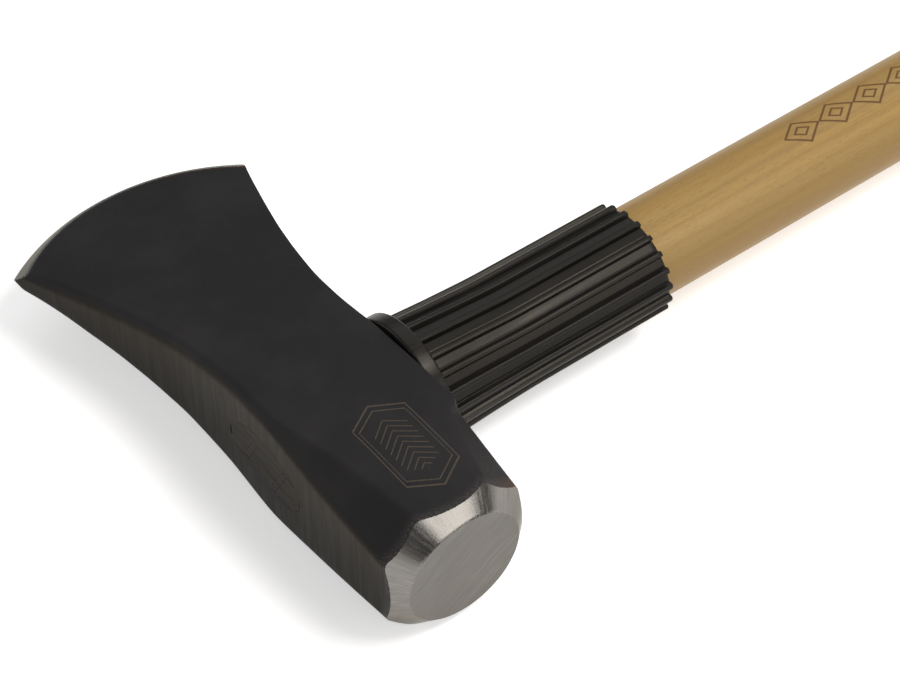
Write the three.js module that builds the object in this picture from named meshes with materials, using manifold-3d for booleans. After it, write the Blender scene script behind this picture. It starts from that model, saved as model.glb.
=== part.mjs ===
// Splitting maul: a forged steel head on a long oval hickory handle, wedged in the eye,
// with a ribbed rubber guard round the handle just below the head.
//
// Millimetres. The maul lies on one cheek, as it would on a bench:
//   +X runs along the handle from the head to the grip,
//   +Y points to the cutting edge and -Y to the poll,
//   +Z is up, square to the cheeks.
// Each piece is drawn about the centre of the eye, and the group at the end of the file
// moves them all so that the origin lies on the lower cheek, under the middle of the poll.

import * as THREE from 'three';
import { mergeVertices, toCreasedNormals } from 'three/addons/utils/BufferGeometryUtils.js';
import Module from 'manifold-3d';

const wasm = await Module();
wasm.setup();

// ---- driving dimensions ----

const GAP = 0.3;                    // left between pieces that touch

const OVERALL_LENGTH = 914;         // 36 inch, top of the head to the end of the handle

const HEAD = {
  pollFaceY: -78.2,                 // the striking face
  pollDiscRadius: 23,             // flat disc left inside the conical bevel
  pollBevelSlope: 0.9,              // how far the bevel runs back for each mm outwards
  cheek: 28.3,                      // half thickness at the poll
  edgeY: 148.9,                     // middle of the cutting edge
  edgeRadius: 89.3,                 // the edge is an arc
  edgeBevel: THREE.MathUtils.degToRad(40),
  edgeFlat: 0.3,                    // half thickness left at the very edge
  edgeRounding: 3.6,                // between the cheeks and the narrow faces
};

const EYE = { topLong: 22, topWide: 13, seatLong: 20.6, seatWide: 12.6 };

const SHAFT = { long: 20.3, wide: 17.3 };   // half axes of the oval just below the guard

const GUARD = {
  headX: 29.5,                       // face of the collar, close under the head
  collarEnd: 35.8,
  collarRadius: 28.6,
  collarRounding: 1.3,
  endX: 139.2,
  ribs: 20,
  ribHeight: 0.075,                 // as a share of the radius
  ribHalfAngle: THREE.MathUtils.degToRad(2.9),
  firstRib: THREE.MathUtils.degToRad(7),
};

const WOOD_WEDGE = { depth: 40, mouth: 2.9, tip: 0.8 };             // half thicknesses
const STEEL_WEDGE = { depth: 26, mouth: 1.5, tip: 0.5, halfWidth: 9, offset: 9, turn: 0.5 };

// ---- materials ----

const finish = (color, roughness, metalness) =>
  new THREE.MeshStandardMaterial({ color, roughness, metalness });

const paintedSteel = finish('#2d2b30', 0.5, 0.6);
const hickory = finish('#c9a26a', 0.45, 0);
const wedgeWood = finish('#a9824f', 0.6, 0);
const wedgeSteel = finish('#6d6b69', 0.45, 1);
const rubber = finish('#262423', 0.6, 0);

// ---- helpers ----

const toSolid = (geometry) => {
  const bare = geometry.clone();
  bare.deleteAttribute('normal');
  bare.deleteAttribute('uv');
  const merged = mergeVertices(bare, 1e-4);
  return new wasm.Manifold(new wasm.Mesh({
    numProp: 3,
    vertProperties: merged.attributes.position.array,
    triVerts: merged.index.array,
  }));
};

const toGeometry = (solid) => {
  const { vertProperties, triVerts } = solid.getMesh();
  const geometry = new THREE.BufferGeometry();
  geometry.setAttribute('position', new THREE.BufferAttribute(vertProperties, 3));
  geometry.setIndex(new THREE.BufferAttribute(triVerts, 1));
  return toCreasedNormals(geometry, THREE.MathUtils.degToRad(25));
};

// A smooth curve through [position, value] pairs, as a function of position. It never
// swings past its points: the slope at a point is the harmonic mean of those beside it.
const curveThrough = (pairs) => {
  const rise = (i) => (pairs[i + 1][1] - pairs[i][1]) / (pairs[i + 1][0] - pairs[i][0]);
  const slopes = pairs.map((pair, i) => {
    const before = rise(Math.max(i - 1, 0));
    const after = rise(Math.min(i, pairs.length - 2));
    return before * after > 0 ? (2 * before * after) / (before + after) : 0;
  });
  return (position) => {
    const found = pairs.findIndex(([start]) => start > position) - 1;
    const i = found < 0 ? pairs.length - 2 : found;
    const [start, startValue] = pairs[i];
    const [end, endValue] = pairs[i + 1];
    const span = end - start;
    const t = (position - start) / span;
    const ease = t * t * (3 - 2 * t);
    return startValue * (1 - ease) + endValue * ease
      + span * t * (1 - t) * ((1 - t) * slopes[i] - t * slopes[i + 1]);
  };
};

// Moves every corner of a geometry through place(point).
const reshape = (geometry, place) => {
  const corners = geometry.attributes.position;
  const point = new THREE.Vector3();
  for (let i = 0; i < corners.count; i += 1) {
    point.fromBufferAttribute(corners, i);
    place(point);
    corners.setXYZ(i, point.x, point.y, point.z);
  }
  return geometry;
};

// A bar along X from one station to another. The outline is drawn with a radius of about one,
// and sizeAt(x) gives the half axes along Y and Z that it is stretched to.
const barAlongX = (outline, from, to, steps, sizeAt) => {
  const bar = new THREE.ExtrudeGeometry(outline, { depth: 1, steps, bevelEnabled: false });
  return toSolid(reshape(bar, (point) => {
    const x = from + point.z * (to - from);
    const { long, wide } = sizeAt(x);
    point.set(x, point.x * long, point.y * wide);
  }));
};

const circleOutline = (divisions) =>
  new THREE.Shape(new THREE.EllipseCurve(0, 0, 1, 1).getPoints(divisions).slice(0, -1));

// Everything on the outer side of a plane, as one large block.
const outsideOf = (normal, point) => {
  const size = 400;
  const block = new THREE.BoxGeometry(size, size, size).translate(0, 0, size / 2);
  const turn = new THREE.Quaternion()
    .setFromUnitVectors(new THREE.Vector3(0, 0, 1), normal.clone().normalize());
  block.applyQuaternion(turn).translate(point.x, point.y, point.z);
  return toSolid(block);
};

// A long thin wedge, thickest at the top of the head, tapering along +X. It is thin along
// the second axis and halfWidth wide along the third, before the turn about X.
const taperedWedge = ({ depth, mouth, tip }, halfWidth, grow) => {
  const outline = new THREE.Shape([
    new THREE.Vector2(-8, mouth + grow),
    new THREE.Vector2(-8, -mouth - grow),
    new THREE.Vector2(depth + grow, -tip - grow),
    new THREE.Vector2(depth + grow, tip + grow),
  ]);
  const width = 2 * (halfWidth + grow);
  return new THREE.ExtrudeGeometry(outline, { depth: width, bevelEnabled: false })
    .translate(-HEAD_TOP, 0, -width / 2);
};

// ---- head ----

// Half height of the head, the same towards the grip and towards the top: nearly straight
// along the poll and the eye, then sweeping out to the wide bit.
const halfHeight = curveThrough([
  [-90, 27.7], [-60, 28.6], [-30, 29.1], [0, 28.8], [22, 28.3], [45, 29.5], [62, 31.9],
  [80, 35.7], [100, 41.1], [118, 46.6], [132, 51.6], [152, 60],
]);

const HEAD_TOP = halfHeight(0);

// Half thickness: a straight splitting wedge that eases into the block of the poll.
const halfThickness = curveThrough([
  [-90, HEAD.cheek], [-66, HEAD.cheek], [-42, HEAD.cheek], [-20, 27.5], [0, 26.1],
  [12, 25], [24, 23.4], [88, 12.3], [120, 6.5], [152, 0.7],
]);

// The bare forging: a rounded square carried along Y, with the two half sizes above.
const forging = () => {
  const share = 0.2;
  const square = new THREE.Shape();
  for (let quarter = 0; quarter < 4; quarter += 1) {
    const start = quarter * Math.PI / 2;
    const x = Math.sign(Math.cos(start + Math.PI / 4)) * (1 - share);
    const y = Math.sign(Math.sin(start + Math.PI / 4)) * (1 - share);
    square.absarc(x, y, share, start, start + Math.PI / 2);
  }
  const back = -88;
  const front = 152;
  const bar = new THREE.ExtrudeGeometry(square, {
    depth: 1, steps: 60, curveSegments: 5, bevelEnabled: false,
  });
  return toSolid(reshape(bar, (point) => {
    const y = front - point.z * (front - back);
    const height = halfHeight(y);
    const thickness = halfThickness(y);
    const radius = Math.min(HEAD.edgeRounding, 0.45 * thickness);
    const place = (value, half) => {
      const past = Math.max(Math.abs(value) - (1 - share), 0) / share;
      return Math.sign(value) * (half - radius + radius * past);
    };
    point.set(place(point.x, height), y, place(point.y, thickness));
  }));
};

// Flats that turn the square poll into an octagon. Those by the top of the head run out
// gently, and those by the grip stop at a step, which keeps the seat for the guard whole.
const pollFlats = () => {
  const cutters = [];
  for (const side of [1, -1]) {
    cutters.push(outsideOf(
      new THREE.Vector3(-0.697, -0.11, 0.708 * side),
      new THREE.Vector3(-28, -2, 25.6 * side),
    ));
    const gripFlat = outsideOf(
      new THREE.Vector3(0.664, -0.181, 0.725 * side),
      new THREE.Vector3(27.8, -68.4, 15.8 * side),
    );
    const step = outsideOf(
      new THREE.Vector3(0.3, -0.9, 0.3 * side),
      new THREE.Vector3(28.4, -35.5, HEAD.cheek * side),
    );
    cutters.push(gripFlat.intersect(step));
  }
  return wasm.Manifold.union(cutters);
};

// The room left by the conical bevel round the striking face.
const pollEnvelope = () => {
  const rim = 80;
  const bevelRun = (rim - HEAD.pollDiscRadius) * HEAD.pollBevelSlope;
  const profile = [
    new THREE.Vector2(0, HEAD.pollFaceY),
    new THREE.Vector2(HEAD.pollDiscRadius, HEAD.pollFaceY),
    new THREE.Vector2(rim, HEAD.pollFaceY + bevelRun),
    new THREE.Vector2(rim, 170),
    new THREE.Vector2(0, 170),
  ];
  return toSolid(new THREE.LatheGeometry(profile, 120));
};

// What is ground away beyond the curved cutting edge, on both sides.
const edgeCutter = () => {
  const { edgeRadius, edgeBevel, edgeFlat, edgeY } = HEAD;
  const height = edgeRadius * Math.tan(edgeBevel) + edgeFlat;
  const profile = [
    new THREE.Vector2(0, -height),
    new THREE.Vector2(edgeRadius, -edgeFlat),
    new THREE.Vector2(edgeRadius, edgeFlat),
    new THREE.Vector2(0, height),
  ];
  const disc = new THREE.LatheGeometry(profile, 240)
    .rotateX(Math.PI / 2)
    .translate(0, edgeY - edgeRadius, 0);
  const block = new THREE.BoxGeometry(160, 80, 60).translate(0, 140, 0);
  return toSolid(block).subtract(toSolid(disc));
};

const eyeSizeAt = (x) => {
  const down = (x + HEAD_TOP) / (2 * HEAD_TOP);
  return {
    long: THREE.MathUtils.lerp(EYE.topLong, EYE.seatLong, down),
    wide: THREE.MathUtils.lerp(EYE.topWide, EYE.seatWide, down),
  };
};

const eyeOutline = circleOutline(48);
const bareHead = forging();

const maulHead = () => bareHead
  .subtract(pollFlats())
  .intersect(pollEnvelope())
  .subtract(edgeCutter())
  .subtract(barAlongX(eyeOutline, -HEAD_TOP - 10, HEAD_TOP + 10, 1, eyeSizeAt));

// ---- handle ----

const handleEnd = OVERALL_LENGTH - HEAD_TOP;

// Below the head the tongue swells to the full oval, hidden by the guard. The grip is
// slimmer, and a knob at the end stops the hand.
const handleLong = curveThrough([
  [28, EYE.seatLong - GAP], [50, SHAFT.long], [300, SHAFT.long], [480, 18.8], [700, 18],
  [800, 18.6], [850, 20.6], [872, 21.6], [900, 21.4],
]);
const handleWide = curveThrough([
  [28, EYE.seatWide - GAP], [50, SHAFT.wide], [300, SHAFT.wide], [480, 15.6], [700, 14.8],
  [800, 15.4], [850, 17], [872, 17.8], [900, 17.6],
]);

const handleSizeAt = (x) => {
  const rounding = 8;
  const past = Math.max(x - (handleEnd - rounding), 0);
  const drawnIn = rounding - Math.sqrt(rounding ** 2 - 0.96 * past ** 2);
  return { long: handleLong(x) - drawnIn, wide: handleWide(x) - drawnIn };
};

const tongueSizeAt = (x) => {
  const { long, wide } = eyeSizeAt(x);
  return { long: long - GAP, wide: wide - GAP };
};

// The tongue and everything driven into it are cut flush with the top of the head.
const tongue = () => barAlongX(eyeOutline, -HEAD_TOP - 8, HEAD_TOP + 2, 1, tongueSizeAt)
  .intersect(bareHead.add(outsideOf(new THREE.Vector3(1, 0, 0), new THREE.Vector3())));

const woodWedgeSolid = (grow) => toSolid(taperedWedge(WOOD_WEDGE, 30, grow));

const steelWedgeSolid = (side, grow) => {
  const { halfWidth, offset, turn } = STEEL_WEDGE;
  const wedge = taperedWedge(STEEL_WEDGE, halfWidth, grow);
  return toSolid(wedge.rotateX(turn).translate(0, side * offset, 0));
};

const steelSlots = () => steelWedgeSolid(1, GAP).add(steelWedgeSolid(-1, GAP));

const handle = () => {
  const shaft = barAlongX(eyeOutline, HEAD_TOP, handleEnd - 8, 32, handleSizeAt);
  const butt = barAlongX(eyeOutline, handleEnd - 8, handleEnd, 8, handleSizeAt);
  return tongue()
    .add(shaft)
    .add(butt)
    .subtract(woodWedgeKerf())
    .subtract(steelSlots());
};

// The kerf lies along the eye, so the wedge is turned to be thin along Z.
const woodWedgeKerf = () => woodWedgeSolid(GAP).rotate([90, 0, 0]);

const woodenWedge = () => woodWedgeSolid(0)
  .rotate([90, 0, 0])
  .intersect(tongue())
  .subtract(steelSlots());

const steelWedge = (side) => steelWedgeSolid(side, 0).intersect(tongue());

// ---- guard ----

// Flat faces between raised ribs with rounded tops.
const ribbedOutline = () => {
  const { ribs, ribHeight, ribHalfAngle, firstRib } = GUARD;
  const at = (angle, radius) =>
    new THREE.Vector2(radius * Math.cos(angle), radius * Math.sin(angle));
  const points = [];
  for (let rib = 0; rib < ribs; rib += 1) {
    const middle = firstRib + (rib * 2 * Math.PI) / ribs;
    points.push(at(middle - 1.15 * ribHalfAngle, 1 - ribHeight));
    for (let k = -2; k <= 2; k += 1) {
      const lean = k / 2;
      const drop = 0.5 * ribHeight * (1 - Math.sqrt(1 - 0.94 * lean ** 2));
      points.push(at(middle + lean * ribHalfAngle, 1 - drop));
    }
    points.push(at(middle + 1.15 * ribHalfAngle, 1 - ribHeight));
  }
  return new THREE.Shape(points);
};

const guardLong = curveThrough([[28, 25.6], [36, 25.3], [58, 24.7], [80, 24.5], [150, 24.5]]);
const guardWide = curveThrough([[28, 25.4], [36, 25], [58, 23], [80, 21.6], [150, 21.5]]);
const guardSizeAt = (x) => ({ long: guardLong(x), wide: guardWide(x) });

const collar = () => {
  const { headX, collarEnd, collarRadius, collarRounding: round } = GUARD;
  const inner = 15;
  const outline = new THREE.Path()
    .moveTo(inner, headX)
    .lineTo(collarRadius - round, headX)
    .absarc(collarRadius - round, headX + round, round, -Math.PI / 2, 0)
    .absarc(collarRadius - round, collarEnd - round, round, 0, Math.PI / 2)
    .lineTo(inner, collarEnd)
    .lineTo(inner, headX);
  return toSolid(new THREE.LatheGeometry(outline.getPoints(3), 72).rotateZ(-Math.PI / 2));
};

const overstrikeGuard = () => {
  const { headX, collarEnd, endX } = GUARD;
  const boreSize = { long: SHAFT.long + GAP, wide: SHAFT.wide + GAP };
  return barAlongX(ribbedOutline(), collarEnd - 2, endX, 8, guardSizeAt)
    .add(collar())
    .subtract(barAlongX(eyeOutline, headX - 5, endX + 5, 1, () => boreSize));
};

// ---- assembly ----

const maul = new THREE.Group();
maul.position.set(0, 57, HEAD.cheek);

const addPiece = (name, solid, material) => {
  const mesh = new THREE.Mesh(toGeometry(solid), material);
  mesh.name = name;
  maul.add(mesh);
};

addPiece('maul_head', maulHead(), paintedSteel);
addPiece('handle', handle(), hickory);
addPiece('wooden_wedge', woodenWedge(), wedgeWood);
addPiece('steel_wedge_bit_side', steelWedge(1), wedgeSteel);
addPiece('steel_wedge_poll_side', steelWedge(-1), wedgeSteel);
addPiece('overstrike_guard', overstrikeGuard(), rubber);

const assembly = new THREE.Group();
assembly.add(maul);
export default assembly;
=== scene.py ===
import math

import bmesh
import bpy
import numpy as np
from mathutils import Matrix, Vector


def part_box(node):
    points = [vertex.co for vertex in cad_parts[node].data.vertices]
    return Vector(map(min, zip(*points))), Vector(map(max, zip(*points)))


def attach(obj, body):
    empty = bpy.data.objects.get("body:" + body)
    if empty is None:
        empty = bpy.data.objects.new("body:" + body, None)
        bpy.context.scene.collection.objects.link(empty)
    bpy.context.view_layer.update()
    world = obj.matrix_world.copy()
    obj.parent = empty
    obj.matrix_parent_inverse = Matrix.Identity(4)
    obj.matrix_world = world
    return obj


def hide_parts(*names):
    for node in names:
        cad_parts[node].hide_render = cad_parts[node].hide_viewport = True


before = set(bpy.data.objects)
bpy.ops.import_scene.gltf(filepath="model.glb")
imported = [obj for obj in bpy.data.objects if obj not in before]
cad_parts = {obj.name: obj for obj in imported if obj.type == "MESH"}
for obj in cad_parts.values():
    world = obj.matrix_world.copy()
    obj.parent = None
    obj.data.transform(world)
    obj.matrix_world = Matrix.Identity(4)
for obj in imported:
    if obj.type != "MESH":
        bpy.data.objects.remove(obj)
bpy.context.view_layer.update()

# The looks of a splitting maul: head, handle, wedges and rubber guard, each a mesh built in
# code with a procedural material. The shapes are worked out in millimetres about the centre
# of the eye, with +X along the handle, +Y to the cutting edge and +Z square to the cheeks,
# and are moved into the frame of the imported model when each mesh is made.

MM = 0.001
TAU = 2 * math.pi

# ---- driving dimensions, in millimetres about the centre of the eye ----

POLL_FACE = -78.2           # the striking face
POLL_DISC_RADIUS = 23.0
POLL_BEVEL_SLOPE = 0.9      # run of the conical bevel for each mm outwards
CHEEK = 28.3                # half thickness at the poll
EDGE_Y = 148.9              # middle of the cutting edge
EDGE_RADIUS = 89.3
EDGE_CENTRE = EDGE_Y - EDGE_RADIUS
EDGE_TAN = math.tan(math.radians(40))
EDGE_BLUNT = 0.25           # rounding of the very edge
EDGE_WEAR_AND_HIGHLIGHT = 0.5             # how far the coating is worn back above the bevel, and the width of the pale band painted there as a highlight
EYE_TOP = (22.0, 13.0)      # half axes of the eye, along Y and Z
EYE_SEAT = (20.6, 12.6)
GAP = 0.3                   # between the shaft and what it goes through
FIT = 0.12                  # what is left open round the tongue and the wedges

head_low, head_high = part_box("maul_head")
guard_low, guard_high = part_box("overstrike_guard")
EYE_CENTRE = Vector((0, head_low.y - POLL_FACE * MM, (head_low.z + head_high.z) / 2))
HANDLE_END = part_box("handle")[1].x / MM
GUARD_HEAD = guard_low.x / MM
GUARD_END = guard_high.x / MM


# ---- shape helpers ----

def smooth_curve(points):
    """A curve through (position, value) pairs that never swings past them."""
    at, value = np.array(points, float).T
    rise = np.diff(value) / np.diff(at)
    before = np.concatenate([rise[:1], rise])
    after = np.concatenate([rise, rise[-1:]])
    both = before * after
    slope = np.where(both > 0, 2 * both / np.where(both > 0, before + after, 1), 0)

    def curve(x):
        i = np.clip(np.searchsorted(at, x, side="right") - 1, 0, len(at) - 2)
        span = at[i + 1] - at[i]
        t = (x - at[i]) / span
        ease = t * t * (3 - 2 * t)
        bend = span * t * (1 - t) * ((1 - t) * slope[i] - t * slope[i + 1])
        return value[i] * (1 - ease) + value[i + 1] * ease + bend

    return curve


def smooth_max(a, b, reach):
    """The larger of a and b, rounded over where they are within reach of each other."""
    overlap = np.maximum(reach - np.abs(a - b), 0) / reach
    return np.maximum(a, b) + overlap ** 2 * reach / 4


def smooth_min(a, b, reach):
    return -smooth_max(-a, -b, reach)


def bisect(low, high, is_past, rounds=34):
    """Where is_past turns true, for arrays of starts and ends."""
    low, high = low.copy(), high.copy()
    for _ in range(rounds):
        middle = (low + high) / 2
        past = is_past(middle)
        high = np.where(past, middle, high)
        low = np.where(past, low, middle)
    return (low + high) / 2


def lumps(x, y, z, size):
    """Soft unevenness between 0 and 1, from sums of sines that share no period."""
    total = np.sin(x / size + 1.3 * np.sin(y / size * 0.7 + 0.4))
    total = total + np.sin(y / size * 1.13 + 1.1 * np.sin(z / size * 0.9 + 1.7))
    total = total + np.sin(z / size * 0.87 + 1.2 * np.sin(x / size * 1.21 + 2.9))
    return 0.5 + total / 6


class Sheets:
    """Gathers grids of points into one mesh."""

    def __init__(self):
        self.points = []
        self.faces = []
        self.count = 0

    def add(self, points):
        points = np.asarray(points, float).reshape(-1, 3)
        first = self.count
        self.points.append(points)
        self.count += len(points)
        return np.arange(first, self.count)

    def grid(self, ids):
        """Quads over a 2-D array of point numbers."""
        corners = (ids[:-1, :-1], ids[:-1, 1:], ids[1:, 1:], ids[1:, :-1])
        quads = np.stack([c.ravel() for c in corners], 1)
        self.faces.extend(quads.tolist())

    def tube(self, rings):
        """Quads between rings of point numbers, each closed on itself."""
        rings = np.asarray(rings)
        self.grid(np.concatenate([rings, rings[:, :1]], 1))

    def fan(self, ring, centre):
        """Triangles from a closed ring of point numbers to one point."""
        after = np.roll(ring, -1)
        self.faces.extend([int(a), int(b), int(centre)] for a, b in zip(ring, after))

    def piece(self, name, offset=EYE_CENTRE):
        """Makes the object, with doubled points joined and every face looking outwards."""
        points = np.concatenate(self.points) * MM + np.array(offset)
        mesh = bpy.data.meshes.new(name)
        mesh.from_pydata(points.tolist(), [], self.faces)
        piece = bpy.data.objects.new(name, mesh)
        bpy.context.collection.objects.link(piece)
        tidy(piece)
        return piece


def tidy(piece, reach=1e-6):
    """Joins doubled points and turns every face outwards."""
    work = bmesh.new()
    work.from_mesh(piece.data)
    bmesh.ops.remove_doubles(work, verts=work.verts, dist=reach)
    bmesh.ops.dissolve_degenerate(work, edges=work.edges, dist=reach)
    bmesh.ops.recalc_face_normals(work, faces=work.faces)
    work.to_mesh(piece.data)
    work.free()


def apply_modifiers(piece):
    bpy.context.view_layer.update()
    shown = piece.evaluated_get(bpy.context.evaluated_depsgraph_get())
    mesh = bpy.data.meshes.new_from_object(shown)
    piece.modifiers.clear()
    old = piece.data
    piece.data = mesh
    bpy.data.meshes.remove(old)


def cut(piece, cutters):
    """Cuts each of the other objects out of the piece and deletes them."""
    for cutter in cutters:
        change = piece.modifiers.new("cut", "BOOLEAN")
        change.operation = "DIFFERENCE"
        change.solver = "EXACT"
        change.object = cutter
    apply_modifiers(piece)
    for cutter in cutters:
        bpy.data.objects.remove(cutter)


def smooth_by_angle(piece, degrees):
    """Smooth shading that keeps edges sharper than the angle."""
    mesh = piece.data
    mesh.polygons.foreach_set("use_smooth", [True] * len(mesh.polygons))
    mesh.set_sharp_from_angle(angle=math.radians(degrees))


# ---- head ----

half_height = smooth_curve([
    (-90, 27.7), (-60, 28.6), (-30, 29.1), (0, 28.8), (22, 28.3), (45, 29.5), (62, 31.9),
    (80, 35.7), (100, 41.1), (118, 46.6), (132, 51.6), (152, 60),
])
half_thickness = smooth_curve([
    (-90, CHEEK), (-66, CHEEK), (-42, CHEEK), (-20, 27.5), (0, 26.1),
    (12, 25), (24, 23.4), (88, 12.3), (120, 6.5), (152, 0.7),
])
HEAD_TOP = float(half_height(0.0))

TOP_FILLET = 4.4            # reach of the rounding between cheeks and the top of the head
GRIP_FILLET = 0.4           # the same on the side of the grip
FLAT_FILLET = 1.5           # reach of the rounding round the flats of the poll


def plane(normal, point):
    """Distance outside a plane, the same above and below the middle of the head."""
    normal = np.array(normal, float)
    normal /= np.linalg.norm(normal)
    level = normal @ np.array(point, float)
    return lambda x, y, z: normal[0] * x + normal[1] * y + normal[2] * np.abs(z) - level


top_flat = plane((-0.697, -0.11, 0.708), (-28, -2, 25.6))
grip_flat = plane((0.664, -0.181, 0.725), (27.8, -68.4, 15.8))
grip_step = plane((0.3, -0.9, 0.3), (28.4, -35.5, CHEEK))


def outside_forging(x, y, z):
    """Above zero outside the forging, below it inside. The grip side swells a little where
    the collar of the guard sits against it."""
    height, thickness = half_height(y), half_thickness(y)
    seat = np.where(x < 0, 0, 0.6 * np.exp(-((y - 14) / 14) ** 2))
    fillet = np.where(x < 0, TOP_FILLET, GRIP_FILLET)
    reach = np.minimum(fillet, 0.55 * thickness)
    body = smooth_max(np.abs(x) - height - seat, np.abs(z) - thickness, reach)
    body = smooth_max(body, top_flat(x, y, z), FLAT_FILLET)
    grip_cut = smooth_min(grip_flat(x, y, z), grip_step(x, y, z), 3.0)
    body = smooth_max(body, grip_cut, FLAT_FILLET)
    return body + 0.11 * lumps(x, y, z, 7.0) + 0.05 * lumps(z, x, y, 2.3)


def forged_point(across, up, y):
    """The forging's surface at y, on the line from the axis towards (across, up), which is
    a point on the square that the section would fill if it had sharp corners."""
    height, thickness = half_height(y), half_thickness(y)
    x, z = across * height, up * thickness
    share = bisect(np.full(y.shape, 0.3), np.full(y.shape, 1.02),
                   lambda s: outside_forging(s * x, y, s * z) > 0)
    return np.stack([share * x, y, share * z], -1)


def edge_room(x, y):
    """Half thickness that the ground bevel leaves, below zero beyond the cutting edge."""
    inside = EDGE_RADIUS - np.hypot(x, y - EDGE_CENTRE)
    depth = np.maximum(inside, 0)
    room = np.sqrt((EDGE_TAN * depth) ** 2 + 2 * EDGE_BLUNT * EDGE_TAN * depth)
    return np.where(inside > 0, room, inside)


def square_columns():
    """Points round the square with corners at one, close together towards the corners."""
    side = np.concatenate([np.linspace(0, 0.42, 8, endpoint=False),
                           np.linspace(0.42, 0.84, 14, endpoint=False),
                           np.linspace(0.84, 1, 12)])
    half = np.concatenate([-side[:0:-1], side])
    one = np.ones_like(half)
    ring = [np.stack(pair, -1)[:-1] for pair in (
        (half, one), (one, -half), (-half, -one), (-one, half))]
    return np.concatenate(ring), len(half) - 1


def poll_radius(y):
    return POLL_DISC_RADIUS + (y - POLL_FACE) / POLL_BEVEL_SLOPE


def head_mesh():
    columns, side = square_columns()
    across, up = columns[:, 0], columns[:, 1]
    count = len(columns)

    def past_bevel(y):
        point = forged_point(across, up, y)
        return np.hypot(point[:, 0], point[:, 2]) < poll_radius(y)

    def past_edge(y):
        point = forged_point(across, up, y)
        return np.abs(point[:, 2]) > edge_room(point[:, 0], y)

    poll_end = bisect(np.full(count, POLL_FACE), np.full(count, -40.0), past_bevel)
    bit_end = bisect(np.full(count, 90.0), np.full(count, 151.0), past_edge)

    steps = np.concatenate([np.linspace(0, 0.34, 76, endpoint=False),
                            np.linspace(0.34, 1, 84)])
    y = poll_end[None, :] + steps[:, None] * (bit_end - poll_end)[None, :]
    body = forged_point(np.broadcast_to(across, y.shape), np.broadcast_to(up, y.shape), y)

    sheets = Sheets()
    ids = sheets.add(body).reshape(y.shape)
    sheets.tube(ids)
    add_poll_end(sheets, body[0], ids[0])
    add_edge_bevels(sheets, body[-1], side, (across[:side + 1] + 1) / 2)
    return sheets


def add_poll_end(sheets, rim, rim_ids):
    """The conical bevel and the striking face, from the end of the forged skin inwards."""
    angle = np.arctan2(rim[:, 2], rim[:, 0])
    start = np.hypot(rim[:, 0], rim[:, 2])

    def ring(radius, y):
        return sheets.add(np.stack([radius * np.cos(angle), y, radius * np.sin(angle)], -1))

    rings = [rim_ids]
    for t in np.linspace(0, 1, 9)[1:]:
        radius = start + t * (POLL_DISC_RADIUS + 0.35 - start)
        rings.append(ring(radius, POLL_FACE + (radius - POLL_DISC_RADIUS) * POLL_BEVEL_SLOPE))
    for radius, rise in ((POLL_DISC_RADIUS, 0.1), (POLL_DISC_RADIUS - 0.4, 0.0),
                         (18, 0), (12, 0), (6, 0)):
        rings.append(ring(radius, np.full(angle.shape, POLL_FACE + rise)))
    sheets.tube(rings)
    middle = sheets.add([(0, POLL_FACE, 0)])
    sheets.fan(rings[-1], middle[0])


def add_edge_bevels(sheets, rim, side, spread):
    """The ground bevel on each side of the cutting edge. side is the number of points along
    one side of the section."""
    down = np.arange(side // 2 + 1)
    for first in (0, 2 * side):
        cheek = rim[np.arange(first, first + side + 1) % len(rim)]
        left = rim[(first - down) % len(rim)]
        right = rim[(first + side + down) % len(rim)]
        sheets.grid(bevel_patch(sheets, cheek, left, right, spread))


def bevel_patch(sheets, cheek, left, right, spread):
    """The bevel from the end of a cheek to the cutting edge. left and right are the ends of
    the narrow faces, from the cheek down to the middle of the head. spread is where the
    points lie along the very edge, as shares, so that the two bevels meet point to point."""
    def polar(point):
        return (np.arctan2(point[..., 0], point[..., 1] - EDGE_CENTRE),
                np.hypot(point[..., 0], point[..., 1] - EDGE_CENTRE))

    angle, radius = polar(cheek)
    left_angle, left_radius = polar(left)
    right_angle, right_radius = polar(right)
    on_cheek = (angle - angle[0]) / (angle[-1] - angle[0])
    rows = []
    for row in range(len(left)):
        share = on_cheek + row / (len(left) - 1) * (spread - on_cheek)
        left_part = (left_radius[row] - radius[0]) / (EDGE_RADIUS - radius[0])
        right_part = (right_radius[row] - radius[-1]) / (EDGE_RADIUS - radius[-1])
        part = left_part + share * (right_part - left_part)
        row_radius = radius + part * (EDGE_RADIUS - radius)
        row_angle = left_angle[row] + share * (right_angle[row] - left_angle[row])
        x = row_radius * np.sin(row_angle)
        y = EDGE_CENTRE + row_radius * np.cos(row_angle)
        z = np.sign(cheek[len(cheek) // 2, 2]) * np.maximum(edge_room(x, y), 0)
        line = np.stack([x, y, z], -1)
        line[0], line[-1] = left[row], right[row]
        rows.append(line)
    ids = sheets.add(np.array(rows))
    return ids.reshape(len(left), len(cheek))


def oval_bar(sizes, stations, segments=96):
    """A closed bar along X whose oval section has the half axes that sizes(x) gives."""
    angle = np.arange(segments) * TAU / segments
    long, wide = sizes(stations)
    x = np.repeat(stations[:, None], segments, 1)
    points = np.stack([x, long[:, None] * np.cos(angle), wide[:, None] * np.sin(angle)], -1)
    sheets = Sheets()
    ids = sheets.add(points).reshape(x.shape)
    sheets.tube(ids)
    for ring, station in ((ids[0], stations[0]), (ids[-1], stations[-1])):
        centre = sheets.add([(station, 0, 0)])
        sheets.fan(ring, centre[0])
    return sheets


def eye_sizes(x, shrink=0.0):
    down = (x + HEAD_TOP) / (2 * HEAD_TOP)
    long = EYE_TOP[0] + down * (EYE_SEAT[0] - EYE_TOP[0]) - shrink
    wide = EYE_TOP[1] + down * (EYE_SEAT[1] - EYE_TOP[1]) - shrink
    return long, wide


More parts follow.
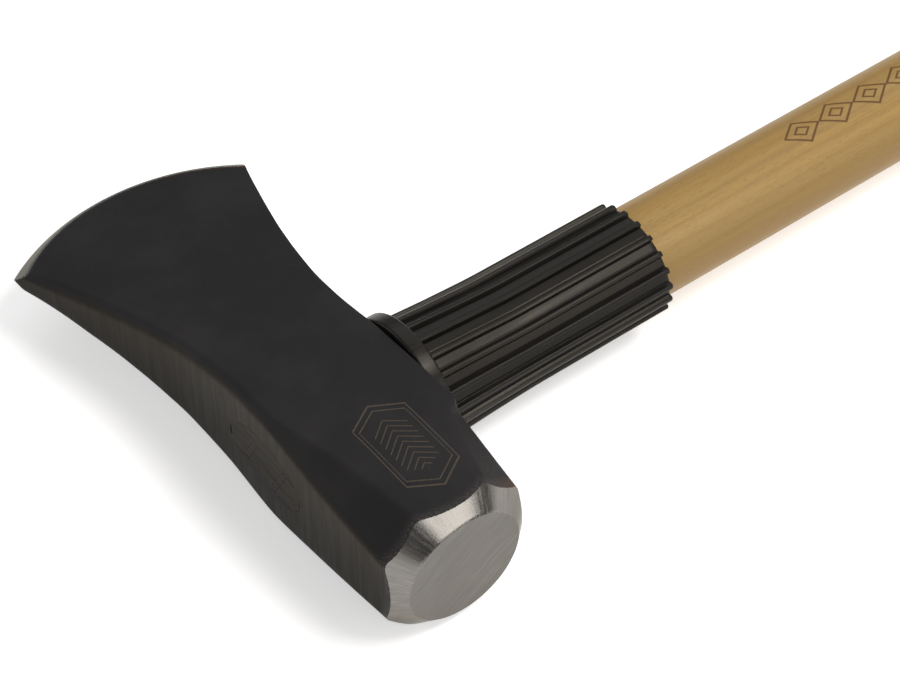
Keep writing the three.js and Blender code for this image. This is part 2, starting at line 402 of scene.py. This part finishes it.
def build_head():
    head = head_mesh().piece("head_forging")
    eye = oval_bar(eye_sizes, np.linspace(-HEAD_TOP - 8, HEAD_TOP + 8, 9)).piece("eye")
    cut(head, [eye])
    tidy(head)
    mark_bare_steel(head)
    smooth_by_angle(head, 24)
    return head


def mark_bare_steel(head):
    """Stores at each point roughly how far, in mm, it lies past the line where the ground
    faces begin: above zero on the ground steel and below it on the coating."""
    count = len(head.data.vertices)
    place = np.zeros(count * 3, np.float32)
    head.data.vertices.foreach_get("co", place)
    x, y, z = ((place.reshape(-1, 3) - np.array(EYE_CENTRE)) / MM).T
    beyond_poll = np.maximum(np.hypot(x, z) - poll_radius(y), POLL_FACE - y)
    beyond_edge = np.where(y > EDGE_CENTRE, np.abs(z) - edge_room(x, y) + EDGE_WEAR_AND_HIGHLIGHT, -50)
    # the coating ends more sharply at the cutting edge than round the poll
    to_ground = np.maximum(0.7 * beyond_poll, 4 * beyond_edge)
    # the ground faces lie below the forged skin
    depth = np.where(to_ground > -0.3, np.maximum(-outside_forging(x, y, z), 0), 0)
    bare = head.data.attributes.new("bare", "FLOAT", "POINT")
    bare.data.foreach_set("value", (to_ground + 1.2 * depth).astype(np.float32))


# ---- materials ----

class Shader:
    """Short ways to write a node material."""

    def __init__(self, name):
        self.material = bpy.data.materials.new(name)
        self.material.use_nodes = True
        self.tree = self.material.node_tree
        self.tree.nodes.clear()
        self.out = self.node("ShaderNodeOutputMaterial")
        self.surface = self.node("ShaderNodeBsdfPrincipled")
        self.tree.links.new(self.surface.outputs[0], self.out.inputs["Surface"])

    def node(self, kind, **settings):
        node = self.tree.nodes.new(kind)
        for key, value in settings.items():
            setattr(node, key, value)
        return node

    def put(self, socket, value):
        if isinstance(value, bpy.types.NodeSocket):
            self.tree.links.new(value, socket)
        elif isinstance(value, (tuple, list)) and len(value) == 3 and socket.type == "RGBA":
            socket.default_value = (*value, 1)
        else:
            socket.default_value = value

    def set(self, **values):
        for key, value in values.items():
            label = key.replace("_", " ").title().replace("Ior", "IOR")
            self.put(self.surface.inputs[label], value)

    def place(self, scale=(1, 1, 1), turn=(0, 0, 0), shift=(0, 0, 0)):
        """Millimetres from the centre of the eye, turned and then scaled."""
        source = self.node("ShaderNodeTexCoord").outputs["Object"]
        from_eye = self.node("ShaderNodeVectorMath", operation="SUBTRACT")
        self.put(from_eye.inputs[0], source)
        from_eye.inputs[1].default_value = EYE_CENTRE
        turned = self.node("ShaderNodeVectorRotate", rotation_type="EULER_XYZ")
        self.put(turned.inputs["Vector"], from_eye.outputs[0])
        turned.inputs["Rotation"].default_value = turn
        mapping = self.node("ShaderNodeMapping")
        self.put(mapping.inputs["Vector"], turned.outputs[0])
        mapping.inputs["Scale"].default_value = [s / MM for s in scale]
        mapping.inputs["Location"].default_value = shift
        return mapping.outputs[0]

    def noise(self, vector, detail=3.0, rough=0.55, distortion=0.0):
        node = self.node("ShaderNodeTexNoise")
        self.put(node.inputs["Vector"], vector)
        node.inputs["Scale"].default_value = 1.0
        node.inputs["Detail"].default_value = detail
        node.inputs["Roughness"].default_value = rough
        node.inputs["Distortion"].default_value = distortion
        return node.outputs[0]

    def math(self, operation, *values, clamp=False):
        node = self.node("ShaderNodeMath", operation=operation, use_clamp=clamp)
        for socket, value in zip(node.inputs, values):
            self.put(socket, value)
        return node.outputs[0]

    def span(self, value, low, high, to_low=0.0, to_high=1.0, smooth=True):
        """Maps low..high to to_low..to_high, held at both ends."""
        node = self.node("ShaderNodeMapRange", clamp=True)
        node.interpolation_type = "SMOOTHSTEP" if smooth else "LINEAR"
        for socket, given in zip(node.inputs, (value, low, high, to_low, to_high)):
            self.put(socket, given)
        return node.outputs[0]

    def mix(self, share, first, second):
        """Between two colours."""
        node = self.node("ShaderNodeMix", data_type="RGBA")
        self.put(node.inputs[0], share)
        self.put(node.inputs[6], first)
        self.put(node.inputs[7], second)
        return node.outputs[2]

    def between(self, share, first, second):
        """Between two numbers."""
        node = self.node("ShaderNodeMix", data_type="FLOAT")
        self.put(node.inputs[0], share)
        self.put(node.inputs[2], first)
        self.put(node.inputs[3], second)
        return node.outputs[0]

    def bump(self, height, distance, strength=1.0, onto=None):
        node = self.node("ShaderNodeBump")
        node.inputs["Strength"].default_value = strength
        node.inputs["Distance"].default_value = distance * MM
        self.put(node.inputs["Height"], height)
        if onto is not None:
            self.put(node.inputs["Normal"], onto)
        return node.outputs[0]

    def band(self, value, middle, half_width):
        """One where the value is within half_width of the middle, zero elsewhere."""
        off = self.math("ABSOLUTE", self.math("SUBTRACT", value, middle))
        return self.span(off, half_width * 1.5, half_width * 0.5)

    def axis(self, vector, name):
        node = self.node("ShaderNodeSeparateXYZ")
        self.put(node.inputs[0], vector)
        return node.outputs[name]

    def facing(self, name):
        """One part of the direction that the surface faces."""
        return self.axis(self.node("ShaderNodeNewGeometry").outputs["Normal"], name)


COAT_DARK = (0.0212, 0.0202, 0.0210)
COAT_LIGHT = (0.0275, 0.0262, 0.0268)
COAT_BROWN = (0.0265, 0.0212, 0.0148)
COAT_BROWN_PAINTED_SHADE = (0.0150, 0.0120, 0.0085)
RUST = (0.075, 0.036, 0.018)
COAT_GLOSS = 0.07
COAT_TINT = (0.62, 0.60, 0.56)


def coat_colour(s, specks):
    """The near-black coating, with pale dust specks, and browner on top, with painted shade that
    darkens the top towards -Z.
    """
    broad = s.noise(s.place((0.03, 0.03, 0.03), shift=(5, 1, 9)), detail=3)
    colour = s.mix(s.span(broad, 0.35, 0.7), COAT_DARK, COAT_LIGHT)
    on_top = s.span(s.facing("X"), -0.80, -0.97)
    # painted shade: the brown of the top is made darker towards -Z
    low = s.span(s.axis(s.place(), "Z"), 20, -12)
    colour = s.mix(on_top, colour, s.mix(low, COAT_BROWN, COAT_BROWN_PAINTED_SHADE))
    return s.mix(s.span(specks, 0.67, 0.80, 0, 0.4), colour, (0.08, 0.075, 0.07))


def cheek_mark(s):
    """An etched sign on the upper cheek: chevrons in an outline with six sides."""
    place = s.place(shift=(-2.7, 41.5, 0))
    across = s.math("ABSOLUTE", s.axis(place, "X"))
    along = s.axis(place, "Y")
    slant = s.math("MULTIPLY_ADD", across, 0.6, s.math("ABSOLUTE", along))
    outline = s.math("MAXIMUM", across, s.math("MULTIPLY", slant, 0.5))
    lines = s.math("MAXIMUM", s.band(outline, 11.0, 0.18), s.band(outline, 9.6, 0.13))
    bend = s.math("MULTIPLY_ADD", across, 0.8, along)
    wave = s.math("PINGPONG", s.math("ADD", bend, 60.0), 3.0)
    chevrons = s.math("MULTIPLY", s.band(wave, 1.5, 0.24), s.span(outline, 6.9, 6.7))
    lines = s.math("MAXIMUM", lines, chevrons)
    return s.math("MULTIPLY", lines, s.span(s.axis(place, "Z"), 24, 25))


def ground_steel(s, past_line):
    """Bare steel: brush marks across the striking face, and radial ones on its bevel.
    Returns the colour, the roughness and the height of the marks."""
    across = s.noise(s.place((0.10, 0.3, 1.6), turn=(0, 0.6, 0)), detail=5, rough=0.7)
    place = s.place()
    turn = s.math("ARCTAN2", s.axis(place, "Z"), s.axis(place, "X"))
    round_axis = s.node("ShaderNodeCombineXYZ")
    s.put(round_axis.inputs[0], s.math("MULTIPLY", turn, 26.0))
    s.put(round_axis.inputs[1], s.math("MULTIPLY", s.axis(place, "Y"), 0.12))
    radial = s.noise(round_axis.outputs[0], detail=5, rough=0.7)
    on_bevel = s.span(s.axis(place, "Y"), POLL_FACE + 0.1, POLL_FACE + 0.5)
    marks = s.between(on_bevel, across, radial)
    patchy = s.noise(s.place((0.05, 0.05, 0.05), shift=(1, 4, 2)), detail=2)
    colour = s.mix(s.span(marks, 0.25, 0.75), (0.170, 0.161, 0.150), (0.262, 0.248, 0.229))
    colour = s.mix(s.span(patchy, 0.35, 0.65, 0, 0.35), colour, (0.185, 0.176, 0.168))
    # painted shade: the striking face gets a colour a quarter darker than the steel of its bevel
    colour = s.mix(on_bevel, s.mix(0.25, colour, (0.10, 0.096, 0.092)), colour)
    at_edge = s.span(s.axis(place, "Y"), 40, 60)
    bevel = s.mix(marks, (0.095, 0.096, 0.090), (0.15, 0.151, 0.142))
    on_cheek = s.span(s.math("ABSOLUTE", s.facing("Z")), 0.85, 0.95)
    # painted highlight: where the coating is worn back on the cheek side, the bare steel is made
    # far paler than the bevel steel
    worn_and_highlight = s.math("MULTIPLY", on_cheek, s.span(past_line, 3.8 * EDGE_WEAR_AND_HIGHLIGHT, 3 * EDGE_WEAR_AND_HIGHLIGHT))
    colour = s.mix(at_edge, colour, s.mix(worn_and_highlight, bevel, (0.62, 0.63, 0.57)))
    rough = s.between(on_bevel, s.span(marks, 0.3, 0.7, 0.30, 0.38),
                      s.span(marks, 0.3, 0.7, 0.15, 0.29))
    return colour, rough, marks


def head_finish():
    """Near-black satin coating, and bare ground steel on the poll and the cutting bevel."""
    s = Shader("head_finish")
    fine = s.noise(s.place((1.8, 1.8, 1.8)), detail=4)
    specks = s.noise(s.place((1.1, 1.1, 1.1), shift=(31, 7, 3)), detail=6, rough=0.7)
    streaks = s.noise(s.place((0.5, 0.5, 0.03), shift=(2, 8, 5)), detail=4, rough=0.6)
    mark = s.math("MULTIPLY", cheek_mark(s), s.span(specks, 0.35, 0.55, 0.35, 0.7))
    coat = s.mix(mark, coat_colour(s, specks), (0.115, 0.090, 0.068))

    # the coating thins out in specks over the last millimetres before the ground faces
    edge = s.node("ShaderNodeAttribute", attribute_name="bare").outputs["Fac"]
    grains = s.noise(s.place((2.4, 2.4, 2.4), shift=(11, 2, 8)), detail=5, rough=0.75)
    thin = s.math("MULTIPLY", s.span(edge, -3.2, -0.1), s.span(grains, 0.47, 0.58, 0, 0.6))
    coat = s.mix(thin, coat, (0.105, 0.098, 0.092))
    near_grip = s.math("MULTIPLY", s.span(edge, -4, -0.3), s.span(s.axis(s.place(), "X"), 17, 24))
    rust = s.math("MULTIPLY", near_grip, s.span(grains, 0.42, 0.55, 0.1, 0.75))
    coat = s.mix(rust, coat, RUST)
    ragged = s.math("MULTIPLY_ADD", s.math("SUBTRACT", specks, 0.5), 0.7, edge)
    bare = s.span(ragged, -0.02, 0.14)

    steel, steel_rough, marks = ground_steel(s, edge)
    coat_rough = s.span(streaks, 0.3, 0.7, 0.42, 0.52)
    bump = s.bump(fine, 0.05, 0.30)
    bump = s.bump(s.between(bare, streaks, marks), 0.02, 0.25, bump)
    s.set(base_color=s.mix(bare, coat, steel), metallic=bare,
          roughness=s.between(bare, coat_rough, steel_rough), normal=bump)
    s.set(specular_ior_level=COAT_GLOSS, specular_tint=COAT_TINT)
    return s.material


def coat_over_eye():
    """The head's coating where it runs over the wood and wedges: fine lines of the grain
    below show through it."""
    s = Shader("coat_over_eye")
    specks = s.noise(s.place((1.1, 1.1, 1.1), shift=(31, 7, 3)), detail=6, rough=0.7)
    lines = s.noise(s.place((1.0, 0.05, 1.1), shift=(3, 5, 2)), detail=4, rough=0.7)
    colour = s.mix(s.span(lines, 0.50, 0.62, 0, 0.7), coat_colour(s, specks), (0.006, 0.005, 0.005))
    s.set(base_color=colour, roughness=s.span(lines, 0.3, 0.7, 0.44, 0.54),
          normal=s.bump(lines, 0.06, 0.5))
    s.set(specular_ior_level=COAT_GLOSS, specular_tint=COAT_TINT)
    return s.material


def burnt_band(s):
    """A row of diamonds burnt into the upper side of the handle."""
    place = s.place(shift=(-224, 0, 0))
    along, across = s.axis(place, "X"), s.math("ABSOLUTE", s.axis(place, "Y"))
    step = s.math("PINGPONG", along, 9.0)
    diamond = s.math("MULTIPLY_ADD", step, 0.70, across)
    lines = s.math("MAXIMUM", s.band(diamond, 6.0, 0.55), s.band(diamond, 2.5, 0.50))
    row = s.math("MULTIPLY", s.span(along, -9, -8.7), s.span(along, 99, 98.7))
    upper = s.span(s.axis(place, "Z"), 5, 6)
    return s.math("MULTIPLY", lines, s.math("MULTIPLY", row, upper))


def wood_colour(s, fibres):
    """Honey-coloured hickory: soft streaks, painted shade that darkens the side towards the poll,
    growth lines and short dark pores."""
    streaks = s.noise(s.place((0.010, 0.5, 0.5)), detail=4, rough=0.6, distortion=0.3)
    pores = s.noise(s.place((0.30, 2.4, 2.4), shift=(6, 3, 7)), detail=3, rough=0.6)
    broad = s.noise(s.place((0.005, 0.07, 0.07), shift=(9, 2, 4)), detail=2)
    colour = s.mix(s.span(streaks, 0.3, 0.7), (0.378, 0.236, 0.070), (0.330, 0.198, 0.055))
    colour = s.mix(s.span(broad, 0.38, 0.66, 0, 0.6), colour, (0.360, 0.240, 0.086))

    place = s.place()
    # painted shade: the side of the handle towards the poll is made darker brown
    side = s.math("MULTIPLY_ADD", streaks, 8.0, s.axis(place, "Y"))
    colour = s.mix(s.span(side, -6, -19, 0, 0.75), colour, (0.190, 0.117, 0.038))
    rings = s.math("MULTIPLY_ADD", s.axis(place, "Y"), 0.8, s.axis(place, "Z"))
    rings = s.math("MULTIPLY_ADD", broad, 9.0, rings)
    line = s.math("FRACT", s.math("DIVIDE", rings, 6.5))
    colour = s.mix(s.span(line, 0.55, 0.97, 0, 0.30), colour, (0.260, 0.145, 0.048))
    colour = s.mix(s.span(fibres, 0.50, 0.72, 0, 0.28), colour, (0.245, 0.140, 0.050))
    return s.mix(s.span(pores, 0.54, 0.66, 0, 0.45), colour, (0.21, 0.115, 0.040))


def wood_finish():
    """Straight-grained hickory under a clear satin lacquer."""
    s = Shader("hickory_finish")
    fibres = s.noise(s.place((0.04, 3.2, 3.2), shift=(3, 8, 1)), detail=4, rough=0.65)
    colour = wood_colour(s, fibres)
    burnt = s.math("MULTIPLY", burnt_band(s), s.span(fibres, 0.3, 0.6, 1.0, 0.85))
    colour = s.mix(burnt, colour, (0.095, 0.036, 0.008))
    s.set(base_color=colour, roughness=s.span(fibres, 0.3, 0.7, 0.38, 0.50),
          normal=s.bump(fibres, 0.05, 0.35))
    s.set(specular_ior_level=0.26)
    return s.material


def wedge_wood_finish():
    """Dull brown hardwood, split along the grain."""
    s = Shader("wedge_wood_finish")
    grain = s.noise(s.place((0.1, 1.5, 1.5)), detail=4, rough=0.6)
    s.set(base_color=s.mix(s.span(grain, 0.3, 0.7), (0.20, 0.12, 0.06), (0.13, 0.075, 0.036)),
          roughness=s.span(grain, 0.3, 0.7, 0.55, 0.68), normal=s.bump(grain, 0.05, 0.4))
    return s.material


def bare_steel_finish():
    """Rolled steel with a dull, slightly uneven skin."""
    s = Shader("wedge_steel_finish")
    grain = s.noise(s.place((1.2, 2.0, 2.0)), detail=4, rough=0.6)
    s.set(base_color=s.mix(s.span(grain, 0.3, 0.7), (0.30, 0.28, 0.27), (0.18, 0.17, 0.165)),
          roughness=s.span(grain, 0.3, 0.7, 0.40, 0.55), normal=s.bump(grain, 0.04, 0.4))
    s.set(metallic=1.0)
    return s.material


def rubber_finish():
    """Moulded black rubber with a soft warm sheen and faint flow lines along it."""
    s = Shader("rubber_finish")
    fine = s.noise(s.place((3.0, 3.0, 3.0)), detail=3)
    flow = s.noise(s.place((0.03, 0.8, 0.8), shift=(4, 4, 1)), detail=4, rough=0.6)
    colour = s.mix(s.span(flow, 0.3, 0.7), (0.0065, 0.0062, 0.0058), (0.0125, 0.0114, 0.0102))
    rough = s.math("ADD", s.span(fine, 0.3, 0.7, 0.0, 0.06), s.span(flow, 0.3, 0.7, 0.26, 0.36))
    s.set(base_color=colour, roughness=rough, normal=s.bump(fine, 0.04, 0.4))
    s.set(specular_ior_level=0.18, specular_tint=(1.0, 0.92, 0.80))
    return s.material


# ---- handle, wedges and guard ----

SHAFT = (20.3, 17.3)        # half axes of the oval just below the guard
BUTT_ROUNDING = 8.0
TONGUE_END = 28             # where the tongue starts to swell to the shaft

handle_long = smooth_curve([
    (TONGUE_END, EYE_SEAT[0] - GAP), (50, SHAFT[0]), (300, SHAFT[0]), (480, 18.8), (700, 18),
    (800, 18.6), (850, 20.6), (872, 21.6), (900, 21.4),
])
handle_wide = smooth_curve([
    (TONGUE_END, EYE_SEAT[1] - GAP), (50, SHAFT[1]), (300, SHAFT[1]), (480, 15.6), (700, 14.8),
    (800, 15.4), (850, 17), (872, 17.8), (900, 17.6),
])


def handle_sizes(x):
    past = np.maximum(x - (HANDLE_END - BUTT_ROUNDING), 0)
    drawn_in = BUTT_ROUNDING - np.sqrt(np.maximum(BUTT_ROUNDING ** 2 - 0.96 * past ** 2, 0))
    tongue = eye_sizes(x, FIT)
    shaft = handle_long(x) - drawn_in, handle_wide(x) - drawn_in
    return tuple(np.where(x < TONGUE_END, a, b) for a, b in zip(tongue, shaft))


WOOD_WEDGE = {"depth": 40.0, "mouth": 2.55, "tip": 0.8, "half_width": 21.2, "narrowing": 1.0}
STEEL_WEDGE = {"depth": 25.8, "mouth": 1.25, "tip": 0.5, "half_width": 8.95, "narrowing": 0.0}
STEEL_WEDGE_OFFSET = 9.0
STEEL_WEDGE_TURN = 0.5 + math.pi / 2


def wedge(name, size, offset=0.0, turn=0.0, over=0.0, fit=0.0):
    """A tapered block along Y, thin along Z, from the top of the head down into the eye. Its
    mouth and tip are half thicknesses, and it narrows towards the tip as the eye does. As a
    cutter it starts higher by over and is larger all round by fit."""
    spread = (size["mouth"] - size["tip"]) / size["depth"]
    corners = []
    ends = ((size["mouth"] + over * spread, size["half_width"]),
            (size["tip"], size["half_width"] - size["narrowing"]))
    for half, half_width in ends:
        for y, z in ((-1, -1), (1, -1), (1, 1), (-1, 1)):
            y, z = y * (half_width + fit), z * (half + fit)
            y, z = (offset + y * math.cos(turn) - z * math.sin(turn),
                    y * math.sin(turn) + z * math.cos(turn))
            at_top = len(corners) < 4
            x = -float(half_height(y)) - over if at_top else size["depth"] - HEAD_TOP + fit
            corners.append((x, y, z))
    sheets = Sheets()
    ids = sheets.add(corners)
    sheets.tube([ids[:4], ids[4:]])
    sheets.faces.append(ids[:4].tolist())
    sheets.faces.append(ids[4:].tolist())
    return sheets.piece(name)


def steel_wedge(name, side, **room):
    return wedge(name, STEEL_WEDGE, side * STEEL_WEDGE_OFFSET, STEEL_WEDGE_TURN, **room)


def steel_slots():
    return [steel_wedge("slot", side, over=6.0, fit=FIT) for side in (-1, 1)]


def build_wood_wedge():
    block = wedge("kerf_wedge", WOOD_WEDGE)
    cut(block, steel_slots())
    return block


def build_handle():
    stations = np.concatenate([
        np.linspace(-HEAD_TOP, TONGUE_END, 12, endpoint=False),
        np.linspace(TONGUE_END, 60, 12, endpoint=False),
        np.linspace(60, 780, 40, endpoint=False),
        np.linspace(780, HANDLE_END - BUTT_ROUNDING, 20, endpoint=False),
        HANDLE_END - BUTT_ROUNDING * (1 - np.sin(np.linspace(0, math.pi / 2, 14))),
    ])
    bar = oval_bar(handle_sizes, stations)
    for points in bar.points:
        in_eye = points[:, 0] < 0
        points[in_eye, 0] *= half_height(points[in_eye, 1]) / HEAD_TOP
    handle = bar.piece("hickory_handle")
    kerf = wedge("kerf", {**WOOD_WEDGE, "half_width": 30.0}, over=6.0, fit=FIT)
    cut(handle, [kerf, *steel_slots()])
    smooth_by_angle(handle, 35)
    return handle


RIBS = 20
RIB_HEIGHT = 0.075
FIRST_RIB = math.radians(7)
guard_long = smooth_curve([(28, 25.6), (36, 25.3), (58, 24.7), (80, 24.5), (150, 24.5)])
guard_wide = smooth_curve([(28, 25.4), (36, 25), (58, 23), (80, 21.6), (150, 21.5)])
COLLAR_RADIUS = 28.4
COLLAR_END = 35.8
COLLAR_ROUNDING = 0.9       # on the side of the ribs
HEAD_SIDE_ROUNDING = (0.8, 1.1)     # on the side of the head: inwards, and along the handle
COLLAR_ROOT = (25.2, 25.0)  # half axes of the oval where the ribs meet the collar

# across one rib, in degrees: share of the rib's height above the flats between ribs
RIB_SHAPE = (
    (-4.3, 0), (-3.6, -0.12), (-3.2, -0.06), (-2.7, 0.72), (-2.3, 0.92), (-1.3, 0.99), (0, 1),
    (1.4, 0.99), (2.2, 0.93), (2.6, 0.72), (2.8, 0), (3.1, -0.30), (3.5, -0.28), (4.1, 0),
)


def rib_profile(angle):
    """Share of the full radius at an angle: flat faces with a rounded rib between them.
    The side of a rib that turns away from the cutting edge is steep, with a groove."""
    pitch = TAU / RIBS
    from_rib = (angle - FIRST_RIB + pitch / 2) % pitch - pitch / 2
    base = (1 - RIB_HEIGHT) * math.cos(pitch / 2) / np.cos(pitch / 2 - np.abs(from_rib))
    at, height = np.array(RIB_SHAPE, float).T
    return base + (1 - base) * np.interp(np.degrees(from_rib), at, height)


def guard_angles():
    """Where the points lie round the sleeve, close together at each rib."""
    pitch = TAU / RIBS
    near = np.radians(np.array([at for at, _ in RIB_SHAPE]))
    between = np.linspace(near[-1], pitch + near[0], 5)[1:-1]
    one = np.concatenate([near, between])
    return (FIRST_RIB + np.arange(RIBS)[:, None] * pitch + one[None, :]).ravel()


def build_guard():
    """The sleeve as one skin: over the collar, along the ribs and back through the bore."""
    angle = guard_angles()
    share = rib_profile(angle)
    sheets = Sheets()

    def ring(x, long, wide):
        x = np.full(angle.shape, x)
        return sheets.add(np.stack([x, long * np.cos(angle), wide * np.sin(angle)], -1))

    bore = np.array(SHAFT) + GAP
    rows = [ring(GUARD_HEAD + 0.4, *bore), ring(GUARD_HEAD, *(bore + 0.4))]
    for t in np.linspace(0, math.pi / 2, 9):
        radius = COLLAR_RADIUS - HEAD_SIDE_ROUNDING[0] * (1 - math.sin(t))
        rows.append(ring(GUARD_HEAD + HEAD_SIDE_ROUNDING[1] * (1 - math.cos(t)), radius, radius))
    for t in np.linspace(0, math.pi / 2, 7):
        radius = COLLAR_RADIUS - COLLAR_ROUNDING * (1 - math.cos(t))
        rows.append(ring(COLLAR_END - COLLAR_ROUNDING * (1 - math.sin(t)), radius, radius))
    rows.append(ring(COLLAR_END, *COLLAR_ROOT))

    stations = [(COLLAR_END + 0.6, 0)]
    stations += [(x, 0) for x in np.linspace(COLLAR_END + 2, GUARD_END - 0.8, 60)]
    stations += [(GUARD_END - 0.25, 0.1), (GUARD_END, 0.5)]
    for x, inset in stations:
        rows.append(ring(x, share * guard_long(x) - inset, share * guard_wide(x) - inset))

    rows += [ring(GUARD_END, *(bore + 0.5)), ring(GUARD_END - 0.5, *bore)]
    rows += [ring(x, *bore) for x in np.linspace(GUARD_END - 4, GUARD_HEAD + 4, 8)]
    rows.append(rows[0])
    sheets.tube(rows)
    guard = sheets.piece("rubber_guard")
    smooth_by_angle(guard, 50)
    return guard


# ---- studio ----

FLOOR_GLOW = 0.5
FLOOR_REACH = 15.0
WORLD_LIGHT = 0.17
LIGHT_DISTANCE = 1.5


def build_floor():
    """A pale matt floor that glows a little, as a light table does."""
    mesh = bpy.data.meshes.new("studio_floor")
    corners = [(x * FLOOR_REACH, y * FLOOR_REACH, 0)
               for x, y in ((-1, -1), (1, -1), (1, 1), (-1, 1))]
    mesh.from_pydata(corners, [], [(0, 1, 2, 3)])
    floor = bpy.data.objects.new("studio_floor", mesh)
    bpy.context.collection.objects.link(floor)
    s = Shader("floor_finish")
    s.set(base_color=(0.86, 0.86, 0.86), roughness=0.9)
    s.set(emission_color=(1.0, 1.0, 1.0), emission_strength=FLOOR_GLOW)
    floor.data.materials.append(s.material)


def area_light(name, toward, size, power, colour):
    """A soft light, placed along a direction from the head and facing it."""
    data = bpy.data.lights.new(name, "AREA")
    data.shape = "RECTANGLE"
    data.size, data.size_y = size
    data.energy = power
    data.color = colour
    lamp = bpy.data.objects.new(name, data)
    direction = Vector(toward).normalized()
    lamp.location = EYE_CENTRE + direction * LIGHT_DISTANCE
    lamp.rotation_mode = "QUATERNION"
    lamp.rotation_quaternion = direction.to_track_quat("Z", "Y")
    bpy.context.collection.objects.link(lamp)


def build_lights():
    world = bpy.data.worlds.new("studio")
    bpy.context.scene.world = world
    world.use_nodes = True
    background = world.node_tree.nodes["Background"]
    background.inputs["Color"].default_value = (1.0, 1.0, 1.0, 1)
    background.inputs["Strength"].default_value = WORLD_LIGHT
    area_light("key_softbox", (0.36, -0.38, 0.85), (0.58, 0.46), 14, (1.0, 0.98, 0.95))
    area_light("front_softbox", (0.33, -0.84, 0.42), (1.7, 0.36), 7, (1.0, 0.98, 0.95))
    area_light("right_softbox", (0.50, 0.45, 0.74), (1.3, 1.0), 5.5, (0.98, 0.98, 1.0))
    area_light("back_softbox", (-0.66, 0.68, 0.33), (1.0, 0.7), 5, (1.0, 0.98, 0.94))


CAMERA_RIGHT = Vector((0.7952, -0.6063, -0.0057))
CAMERA_UP = Vector((0.4478, 0.5810, 0.6796))
CAMERA_FROM_EYE = Vector((-0.31459, -0.48845, 0.67226))


def build_camera():
    """The photograph's view: from the poll side, above the upper cheek."""
    data = bpy.data.cameras.new("camera")
    data.lens = 100
    data.sensor_width = 36
    data.clip_start, data.clip_end = 0.05, 50
    camera = bpy.data.objects.new("camera", data)
    right = CAMERA_RIGHT.normalized()
    back = CAMERA_RIGHT.cross(CAMERA_UP).normalized()
    turn = Matrix((right, back.cross(right), back)).transposed().to_4x4()
    camera.matrix_world = Matrix.Translation(EYE_CENTRE + CAMERA_FROM_EYE) @ turn
    bpy.context.collection.objects.link(camera)
    bpy.context.scene.camera = camera


# ---- assembly ----

def dress(piece, material, node, coat=None):
    """Gives a piece its finish and its place in the frame. With a coat, the faces that lie
    flush with the top of the head get that finish."""
    piece.data.materials.clear()
    piece.data.materials.append(material)
    if coat:
        piece.data.materials.append(coat)
        for face in piece.data.polygons:
            at_top = face.center.x < EYE_CENTRE.x - (HEAD_TOP - 1) * MM
            face.material_index = int(at_top and face.normal.x < -0.8)
    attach(piece, "root")
    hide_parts(node)


build_camera()
build_lights()
build_floor()
coat = coat_over_eye()
wedge_steel = bare_steel_finish()
dress(build_head(), head_finish(), "maul_head")
dress(build_handle(), wood_finish(), "handle", coat)
dress(build_guard(), rubber_finish(), "overstrike_guard")
dress(build_wood_wedge(), wedge_wood_finish(), "wooden_wedge", coat)
dress(steel_wedge("steel_wedge_bit", 1), wedge_steel, "steel_wedge_bit_side", coat)
dress(steel_wedge("steel_wedge_poll", -1), wedge_steel, "steel_wedge_poll_side",
      coat)
bpy.context.scene.view_settings.view_transform = "Standard"
